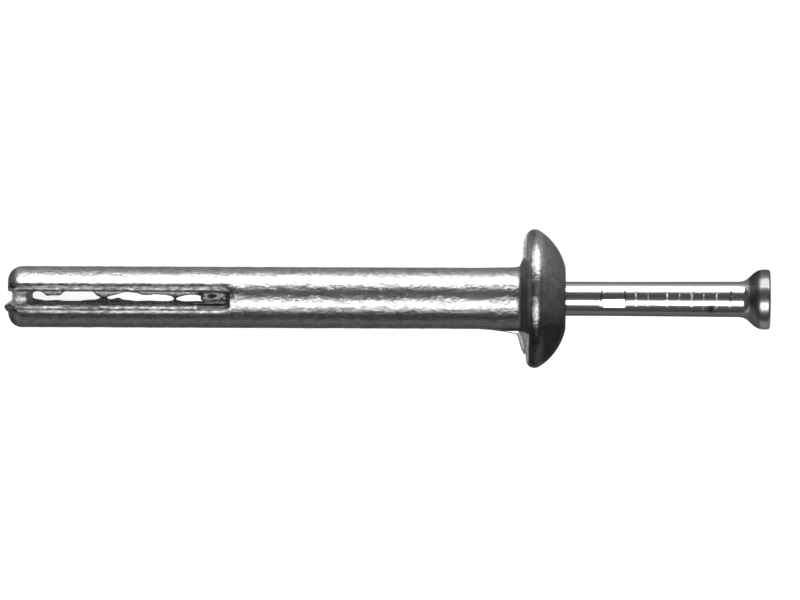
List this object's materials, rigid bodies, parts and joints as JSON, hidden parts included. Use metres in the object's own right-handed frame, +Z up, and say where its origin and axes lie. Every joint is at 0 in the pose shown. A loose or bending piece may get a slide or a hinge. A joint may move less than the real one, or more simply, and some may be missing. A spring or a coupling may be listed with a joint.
{
  "type": "hammer drive anchor",
  "caption": "Mushroom-head hammer drive anchor: a split-ended die-cast body with a steel drive nail standing out of its head, lying at rest.",
  "frame": {"origin": "on the surface that the anchor lies on, under the middle of its length", "axes": "+X from the split tip towards the nail's head, +Z up; the anchor's own axis rises towards the nail's head by the angle at which it comes to rest, and its slots face up and down"},
  "size_m": [0.0748, 0.0136, 0.0136],
  "materials": {
    "cast_zinc": "rough as-cast zinc alloy, silver grey",
    "plated_steel": "smooth bright zinc plating"
  },
  "bodies": {
    "root": {"anchor_body": "cast_zinc", "drive_nail": "plated_steel"}
  },
  "joints": []
}
